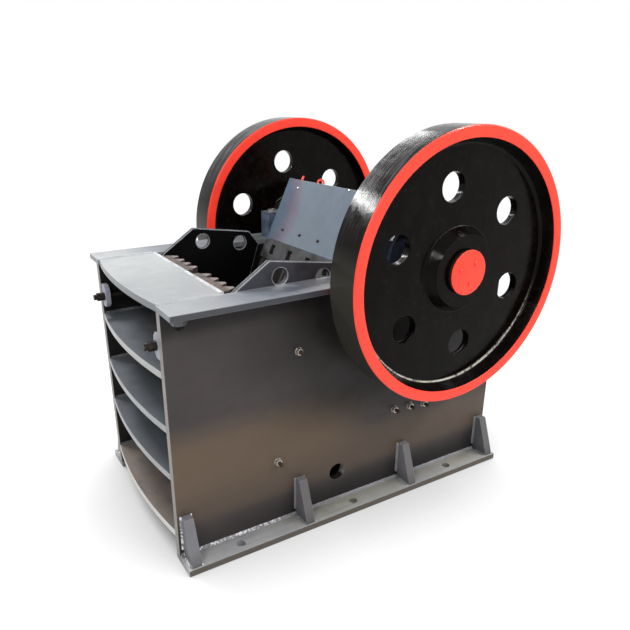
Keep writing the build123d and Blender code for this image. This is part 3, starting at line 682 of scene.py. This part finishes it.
def dress(nodes, material, edge_mm=0.0, sharper=40):
    """Gives CAD nodes their finish and, where asked, softly broken edges."""
    for name in nodes:
        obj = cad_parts[name]
        if not obj.material_slots:
            obj.data.materials.append(material)
        for place in obj.material_slots:
            place.material = material
        if edge_mm:
            weld = obj.modifiers.new("weld", "WELD")
            weld.merge_threshold = 0.02 * MM
            bevel = obj.modifiers.new("edges", "BEVEL")
            bevel.width = edge_mm * MM
            bevel.segments = 2
            bevel.limit_method = "ANGLE"
            bevel.angle_limit = radians(sharper)
            bevel.harden_normals = True
            shading = obj.modifiers.new("shading", "WEIGHTED_NORMAL")
            shading.keep_sharp = True


def both_sides(*names):
    """Node names for the right-hand and left-hand pieces."""
    return [f"{name}_{side}" for name in names for side in SIDES]


class CRUSHER_OT_plates(bpy.types.Operator):
    """Paint the welded plate frame"""
    bl_idname = "crusher.plates"
    bl_label = "Frame plates"

    def execute(self, context):
        paint = settings("paint")
        dress(both_sides("side_plate"), side_plate_enamel(), 1.5)
        dress(both_sides("top_flange") + ["front_top_plate"], deck_enamel(), 2)
        dress([f"front_rib_{n}" for n in range(1, 5)], rib_enamel(), 2)
        dress(both_sides("foot_gussets"), gusset_enamel(), 2)
        wall = plain_enamel("front wall enamel", paint.wall, "2a2624", dust=0.1)
        dress(["front_wall", "rear_wall", "rear_beam", "fixed_jaw_ledge"], wall)
        dress(["front_brackets"], plain_enamel("bracket enamel", paint.bracket, "6f7079"), 1)
        dress(both_sides("foot_flange"), foot_enamel(), 1.5)
        dress(both_sides("cheek_plate"), cheek_enamel(), 1.5)
        dress(both_sides("bearing_base", "bearing_cap", "bearing_cover"), housing_enamel())
        return {"FINISHED"}


class CRUSHER_OT_wheels(bpy.types.Operator):
    """Paint the flywheels, lay the red bands on the rims and fit the hub caps"""
    bl_idname = "crusher.wheels"
    bl_label = "Flywheels"

    def execute(self, context):
        red = red_enamel()
        dress(both_sides("flywheel"), gloss_black_enamel(), 3, 60)
        dress(["lifting_eyes"], red)
        dress(["eccentric_shaft"], steel("turned steel", "9a9a98", 0.25, 0.4, rust=0.2))
        collar = steel("cap collar steel", "3a302a", 0.35, 0.55, 0.5, 0.6)
        for side, sign in SIDES.items():
            outer = outer_face(f"flywheel_{side}")
            for face, (x, out) in {"outer": (outer, 1), "inner": (outer - RIM_WIDTH, -1)}.items():
                bm = bmesh.new()
                rim_band(bm, seat((sign * x, SHAFT_Y, SHAFT_Z), (sign * out, 0, 0)))
                piece(f"rim_band_{face}_{side}", bm, [red], "rotor")
            bm = bmesh.new()
            cover_cap(bm, seat((sign * HUB_FACE, SHAFT_Y, SHAFT_Z), (sign, 0, 0)))
            cap = piece(f"hub_cap_cover_{side}", bm, [red, collar], "rotor")
            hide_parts(f"hub_cap_{side}")
            bm = bmesh.new()
            x = sign * (HUB_FACE + CAP_TOP - 0.2 * MM)
            for number in range(3):
                matrix = seat((x, *round_shaft(CAP_CIRCLE, 43 + 120 * number)), (sign, 0, 0))
                domed_head(bm, matrix, 0.0085, 0.0054)
            piece(f"hub_cap_bolts_{side}", bm, [red], "rotor")
        return {"FINISHED"}


class CRUSHER_OT_jaws(bpy.types.Operator):
    """Finish the jaws, clamp bar and guard"""
    bl_idname = "crusher.jaws"
    bl_label = "Jaws and guard"

    def execute(self, context):
        paint = settings("paint")
        dress(["fixed_jaw_plate", "moving_jaw_plate"], manganese_steel(), 2)
        dress(["swing_jaw"], plain_enamel("casting enamel", paint.casting, "3b3836", dust=0.3))
        guard = plain_enamel("guard enamel", paint.guard, "4f5c67",
                             smooth=0.05, rough=0.12, shine=0.8)
        dress(["guard_plate", "guard_bracket"], guard, 1)
        bar = plain_enamel("clamp bar enamel", paint.clamp, "100e0d", "1d1a18", shine=0.12)
        dress(["jaw_clamp_bar"], bar, 1)
        return {"FINISHED"}


class CRUSHER_OT_toggle(bpy.types.Operator):
    """Finish the toggle gear and tension rods"""
    bl_idname = "crusher.toggle"
    bl_label = "Toggle gear"

    def execute(self, context):
        cast = steel("cast iron", "55524f", 0.5, 0.7, 0.4, 0.3)
        dress(["toggle_plate", "toggle_block", "toggle_rails"], cast)
        oiled = steel("oiled steel", "8a8782", 0.3, 0.5, 0.3)
        dress(["tension_rods", "toggle_shims"], oiled)
        dress(["tension_springs"], steel("spring steel", "5a5a5e", 0.3, 0.45, 0.2))
        dress(["front_wedge_bolts"], steel("black bolt steel", "2b2624", 0.4, 0.6, 0.2, 0.7))
        return {"FINISHED"}


class CRUSHER_OT_side_studs(bpy.types.Operator):
    """Bolt the cheek plates and toggle rails through the side plates"""
    bl_idname = "crusher.side_studs"
    bl_label = "Side plate studs"

    def execute(self, context):
        sizes = settings("fasteners")
        zinc = steel("zinc plate", "b9b6ae", 0.3, 0.5, rust=0.2)
        grey = steel("painted nut steel", "5a5f66", 0.35, 0.5, rust=0.15, metallic=0.6)
        black = steel("stud steel", "3d332b", 0.4, 0.6, rust=0.7, metallic=0.8)
        dark = steel("flange stud steel", "1d1b1a", 0.4, 0.6, rust=0.15, metallic=0.8)
        # Y and Z of each: two hold the cheek plate, and three the toggle rail.
        places = ((-0.323, 0.289), (-0.232, 0.717), (0.229, 0.362), (0.312, 0.356),
                  (0.389, 0.348))
        for side, sign in SIDES.items():
            bm = bmesh.new()
            for number, (y, z) in enumerate(places):
                matrix = seat((sign * PLATE_OUT, y, z), (sign, 0, 0), number * 1.3)
                bolted(bm, matrix, sizes.side_stud, 0.013, 0.035, 0.002)
            piece(f"side_studs_{side}", bm, [zinc, black], "frame")
            bm = bmesh.new()
            matrix = seat((sign * 0.430, FRONT + 0.041, FLANGE_UNDER), DOWN, 0.4)
            r = sizes.flange_stud
            hexagon(bm, matrix, r * 1.5, 0.024, r * 1.01)
            stud(bm, matrix, r, 0.040, 0.0035)
            piece(f"flange_stud_{side}", bm, [grey, dark], "frame")
        return {"FINISHED"}


class CRUSHER_OT_bearing_bolts(bpy.types.Operator):
    """Bolt down the bearing caps and covers and fit their grease nipples"""
    bl_idname = "crusher.bearing_bolts"
    bl_label = "Bearing bolts"

    def execute(self, context):
        sizes = settings("fasteners")
        zinc = steel("ear bolt zinc", "a9a8a4", 0.3, 0.5, rust=0.25)
        black = steel("cover bolt steel", "4c4843", 0.35, 0.55, rust=0.4, metallic=0.8)
        brass = steel("brass", "b08d4a", 0.3, 0.45)
        for side, sign in SIDES.items():
            # On the housing's ears, in front of the shaft and behind it.
            bm = bmesh.new()
            r = sizes.ear_bolt
            for y in (SHAFT_Y - 0.216, SHAFT_Y + 0.216):
                matrix = seat((sign * 0.377, y, SHAFT_Z + 0.089), UP, 0.2 + y)
                washer(bm, matrix, r, r * 1.85, 0.002)
                hexagon(bm, matrix @ Matrix.Translation((0, 0, 0.002)), r * 1.5, r * 0.9)
            piece(f"bearing_bolts_{side}", bm, [zinc], "frame")
            bm = bmesh.new()
            r = sizes.cover_bolt
            x = sign * outer_face(f"bearing_cover_{side}")
            for number in range(6):
                place = (x, *round_shaft(0.100, 30 + 60 * number))
                hexagon(bm, seat(place, (sign, 0, 0), number * 0.7), r * 1.58, r * 1.25)
            piece(f"cover_bolts_{side}", bm, [black], "frame")
            bm = bmesh.new()
            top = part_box(f"bearing_cap_{side}")[1].z
            matrix = seat((sign * 0.368, SHAFT_Y, top - 0.001), UP)
            hexagon(bm, matrix, 0.0055, 0.008)
            neck = [(0.0035, 0.007), (0.0035, 0.012), (0.0025, 0.014), (0.0033, 0.017),
                    (0.0018, 0.0195)]
            lathe(bm, matrix, neck, 20)
            piece(f"grease_nipple_{side}", bm, [brass], "frame")
        return {"FINISHED"}


class CRUSHER_OT_jaw_bolts(bpy.types.Operator):
    """Bolt the clamp bar and the guard plate to the swing jaw"""
    bl_idname = "crusher.jaw_bolts"
    bl_label = "Jaw bolts"

    def execute(self, context):
        black = steel("jaw bolt steel", "3a342f", 0.4, 0.6, rust=0.5, metallic=0.7)
        zinc = steel("rivet zinc", "b9bcbe", 0.3, 0.45)
        ahead = (0, -cos(LEAN), sin(LEAN))
        bar_face, guard_face = -0.237, -0.259
        bm = bmesh.new()
        for x in (-0.21, -0.07, 0.07, 0.21):
            matrix = seat(jaw_point(x, bar_face, -0.172), ahead, x)
            hexagon(bm, matrix, 0.012, 0.010)
        piece("clamp_bar_bolts", bm, [black], "jaw")
        bm = bmesh.new()
        for x in (-0.186, -0.048, 0.090):
            hexagon(bm, seat(jaw_point(x, guard_face, -0.076), ahead, x), 0.0055, 0.005)
        for x, up in ((-0.190, 0.111), (0.164, 0.142)):
            place = jaw_point(x, guard_face - 0.2 * MM, up)
            domed_head(bm, seat(place, ahead), 0.005, 0.0028, 1)
        piece("guard_bolts", bm, [black, zinc], "jaw")
        return {"FINISHED"}


class CRUSHER_OT_welds(bpy.types.Operator):
    """Lay the fillet welds between the frame's plates"""
    bl_idname = "crusher.welds"
    bl_label = "Weld beads"

    def execute(self, context):
        sizes = settings("fasteners")
        paint = settings("paint")
        chance = random.Random(7)
        pale = weld_enamel()
        seam = plain_enamel("deck weld enamel", paint.seam, "76787c", smooth=0.25, rough=0.4)
        # The bay and flange welds take the ribs' and side plates' colours, painted darker as
        # shade.
        grey = plain_enamel("rib weld enamel", paint.rib, "565554", dust=0.1)
        dark = plain_enamel("flange weld enamel", paint.plate, "2c2928")
        leg, ripple = sizes.weld_leg, sizes.ripple

        def lay(bm, start, end, first, second, size=leg):
            """Bead from start to end in the corner that opens in two directions."""
            bead(bm, chance, start, end, first, second, size, ripple)

        def lay_over_and_under(bm, tops, start, end, across):
            """Beads on top of each rib and under it, between two places in plan."""
            for top in tops:
                for z, way in ((top, UP), (top - RIB_PLATE, DOWN)):
                    lay(bm, (*start, z), (*end, z), across, way)

        for side, sign in SIDES.items():
            out, inward = (sign, 0, 0), (-sign, 0, 0)
            x = sign * PLATE_OUT
            first, last = FRONT + 0.004, REAR - 0.004
            bm = bmesh.new()
            lay(bm, (x, first, FOOT_TOP), (x, last, FOOT_TOP), out, UP, leg * 1.1)
            piece(f"foot_welds_{side}", bm, [pale], "frame")
            bm = bmesh.new()
            for y0, y1 in ((first, SHAFT_Y - 0.180), (SHAFT_Y + 0.180, last)):
                lay(bm, (x, y0, FLANGE_UNDER), (x, y1, FLANGE_UNDER), out, DOWN)
            piece(f"flange_welds_{side}", bm, [dark], "frame")
            bm = bmesh.new()
            # Up both faces of each gusset, and out along its foot.
            for y in GUSSET_FRONTS:
                for face, across in ((y, FORWARD), (y + GUSSET_PLATE, BACKWARD)):
                    lay(bm, (x, face, 0.050), (x, face, 0.190), out, across, leg * 0.8)
                    foot = (sign * 0.460, face, FOOT_TOP)
                    lay(bm, (sign * 0.399, face, FOOT_TOP), foot, across, UP, leg * 0.8)
            piece(f"gusset_welds_{side}", bm, [pale], "frame")
            bm = bmesh.new()
            # Ribs, top plate and rear wall to the side plate's inner face.
            x = sign * PLATE_IN
            wall = WALL_FRONT - 0.002
            lay_over_and_under(bm, RIB_TOPS, (x, FRONT + 0.006), (x, wall), inward)
            lay(bm, (x, FRONT + 0.010, TOP_PLATE_UNDER), (x, wall, TOP_PLATE_UNDER), inward,
                DOWN)
            behind = REAR_WALL_BACK + 0.002
            lay_over_and_under(bm, REAR_RIB_TOPS, (x, behind), (x, 0.760), inward)
            lay(bm, (x, REAR_WALL_BACK, 0.002), (x, REAR_WALL_BACK, 0.638), inward, BACKWARD)
            piece(f"bay_welds_{side}", bm, [grey], "frame")
            # Two low runs on the deck, one on each side of the seam.
            bm = bmesh.new()
            for shift in (-0.009, 0.003):
                lay(bm, (x + shift, FRONT + 0.007, DECK), (x + shift, MOUTH_FRONT, DECK),
                    (0.9, 0, 0), (0, 0, 0.5), leg * 0.8)
            piece(f"deck_seam_{side}", bm, [seam], "frame")
        half = PLATE_IN - 0.002
        bm = bmesh.new()
        lay_over_and_under(bm, RIB_TOPS, (-half, WALL_FRONT), (half, WALL_FRONT), FORWARD)
        piece("front_wall_welds", bm, [grey], "frame")
        bm = bmesh.new()
        y, z = MOUTH_FRONT + 0.0045, DECK - 0.0005
        lay(bm, (-0.340, y, z), (0.340, y, z), FORWARD, (0, 0, 0.6), leg * 1.1)
        piece("mouth_weld", bm, [seam], "frame")
        bm = bmesh.new()
        lay_over_and_under(bm, REAR_RIB_TOPS, (-half, REAR_WALL_BACK), (half, REAR_WALL_BACK),
                           BACKWARD)
        piece("rear_wall_welds", bm, [grey], "frame")
        return {"FINISHED"}


def backdrop(tree):
    """1 for the rays that see the backdrop: the camera's, and those off metal and glass."""
    path = add(tree, "LightPath").outputs
    seen = path["Is Camera Ray"]
    for name in ("Is Glossy Ray", "Is Transmission Ray"):
        seen = add(tree, "Math", {0: seen, 1: path[name]}, operation="MAXIMUM").outputs[0]
    return seen


def studio_world(studio):
    """World that is white where the backdrop is seen, and dimmer as a light."""
    world = bpy.data.worlds.new("studio")
    world.use_nodes = True
    tree = world.node_tree
    tree.nodes.clear()
    level = add(tree, "MapRange", {"Value": backdrop(tree), "To Min": studio.ambient,
                                   "To Max": 1.0})
    sky = add(tree, "Background", {"Color": linear("ffffff"), "Strength": level.outputs[0]})
    add(tree, "OutputWorld", {"Surface": sky.outputs[0]})
    return world


def studio_floor():
    """Floor that is white where the backdrop is seen, apart from the shadow round the machine
    and the dark inside it, and plain pale to the light that bounces off it."""
    material, tree = new_material("studio floor")
    near = add(tree, "AmbientOcclusion", {"Distance": 0.6})
    inside = add(tree, "AmbientOcclusion", {"Distance": 2.0})
    open_sky = add(tree, "MapRange", {"Value": inside.outputs["AO"], "From Min": 0.15,
                                      "From Max": 0.35, "To Max": 0.93})
    white = add(tree, "Emission", {"Color": near.outputs["Color"],
                                   "Strength": open_sky.outputs[0]})
    shaded = add(tree, "BsdfDiffuse", {"Color": linear("818181")})
    both = add(tree, "AddShader", {0: white.outputs[0], 1: shaded.outputs[0]})
    matt = add(tree, "BsdfDiffuse", {"Color": linear("efefef")})
    mixed = add(tree, "MixShader", {"Fac": backdrop(tree), 1: matt.outputs[0],
                                    2: both.outputs[0]})
    add(tree, "OutputMaterial", {"Surface": mixed.outputs[0]})
    bm = bmesh.new()
    bmesh.ops.create_grid(bm, x_segments=1, y_segments=1, size=14)
    mesh = bpy.data.meshes.new("floor")
    bm.to_mesh(mesh)
    bm.free()
    mesh.materials.append(material)
    return bpy.data.objects.new("floor", mesh)


def studio_lamps(studio):
    """The lamps: two large ones, and five thin or small ones for the bright streaks on the
    wheels' gloss."""
    # Name, place, target, power, length and width.
    lamps = (("key", (-1.2, -2.6, 4.2), (0, 0, 0.6), studio.key, 3.2, 3.2),
             ("fill", (4.5, 0.4, 2.8), (0, 0, 0.6), studio.fill, 2.6, 2.6),
             ("strip_right", (2.25, 1.35, 2.65), (0.6, 0.3, 0.8), 62, 3.0, 0.14),
             ("strip_left", (-2.2, 0.4, 2.95), (0.5, 0.3, 1.3), 38, 3.4, 0.4),
             ("window", (-1.85, -1.25, 2.75), (0.5, -0.1, 1.25), 66, 0.8, 0.30),
             ("door", (1.6, -2.2, 2.9), (0.6, 0.2, 1.0), 32, 0.9, 0.6),
             ("skylight", (0.75, 1.8, 3.7), (0.6, 0.3, 1.0), 22, 0.5, 0.3))
    for name, place, target, power, long, wide in lamps:
        lamp = bpy.data.lights.new(name, "AREA")
        lamp.shape, lamp.size, lamp.size_y, lamp.energy = "RECTANGLE", long, wide, power
        obj = bpy.data.objects.new(name, lamp)
        obj.location = place
        aim = Vector(target) - Vector(place)
        obj.rotation_euler = aim.to_track_quat("-Z", "Y").to_euler()
        yield obj


def photo_camera(studio):
    """Camera that stands and looks as the photograph's did."""
    camera = bpy.data.cameras.new("camera")
    camera.lens = studio.lens
    camera.sensor_width = 36
    camera.shift_x, camera.shift_y = studio.shift
    obj = bpy.data.objects.new("camera", camera)
    forward = Vector(studio.aim).normalized()
    level = forward.cross(Vector(UP)).normalized()
    upward = level.cross(forward)
    right = level * cos(studio.roll) + upward * sin(studio.roll)
    above = right.cross(forward)
    matrix = Matrix((right, above, -forward)).transposed().to_4x4()
    matrix.translation = studio.camera
    obj.matrix_world = matrix
    return obj


class CRUSHER_OT_stage(bpy.types.Operator):
    """Set up the floor, lights, world and camera"""
    bl_idname = "crusher.stage"
    bl_label = "Stage"

    def execute(self, context):
        scene = context.scene
        studio = settings("studio")
        scene.view_settings.view_transform = "Standard"
        scene.world = studio_world(studio)
        floor = studio_floor()
        scene.collection.objects.link(floor)
        for lamp in studio_lamps(studio):
            scene.collection.objects.link(lamp)
        scene.camera = photo_camera(studio)
        scene.collection.objects.link(scene.camera)
        return {"FINISHED"}


class CRUSHER_PT_panel(bpy.types.Panel):
    """Lists the crusher's pieces in the sidebar"""
    bl_idname = "CRUSHER_PT_panel"
    bl_label = "Jaw crusher"
    bl_space_type = "VIEW_3D"
    bl_region_type = "UI"
    bl_category = "Crusher"

    def draw(self, context):
        for operator in operators:
            self.layout.operator(operator.bl_idname)


groups = {"paint": CrusherPaint, "fasteners": CrusherFasteners, "studio": CrusherStudio}
operators = (CRUSHER_OT_plates, CRUSHER_OT_wheels, CRUSHER_OT_jaws, CRUSHER_OT_toggle,
             CRUSHER_OT_side_studs, CRUSHER_OT_bearing_bolts, CRUSHER_OT_jaw_bolts,
             CRUSHER_OT_welds, CRUSHER_OT_stage)


def register():
    """Registers the classes and hangs the property groups on the scene."""
    for kind in (*groups.values(), *operators, CRUSHER_PT_panel):
        bpy.utils.register_class(kind)
    for name, group in groups.items():
        setattr(bpy.types.Scene, "crusher_" + name, PointerProperty(type=group))


def unregister():
    """Takes the property groups and classes away again."""
    for name in groups:
        delattr(bpy.types.Scene, "crusher_" + name)
    for kind in (CRUSHER_PT_panel, *operators[::-1], *groups.values()):
        bpy.utils.unregister_class(kind)


def main():
    """Builds every piece in order."""
    register()
    for operator in operators:
        area, action = operator.bl_idname.split(".")
        getattr(getattr(bpy.ops, area), action)()


if __name__ == "__main__":
    main()
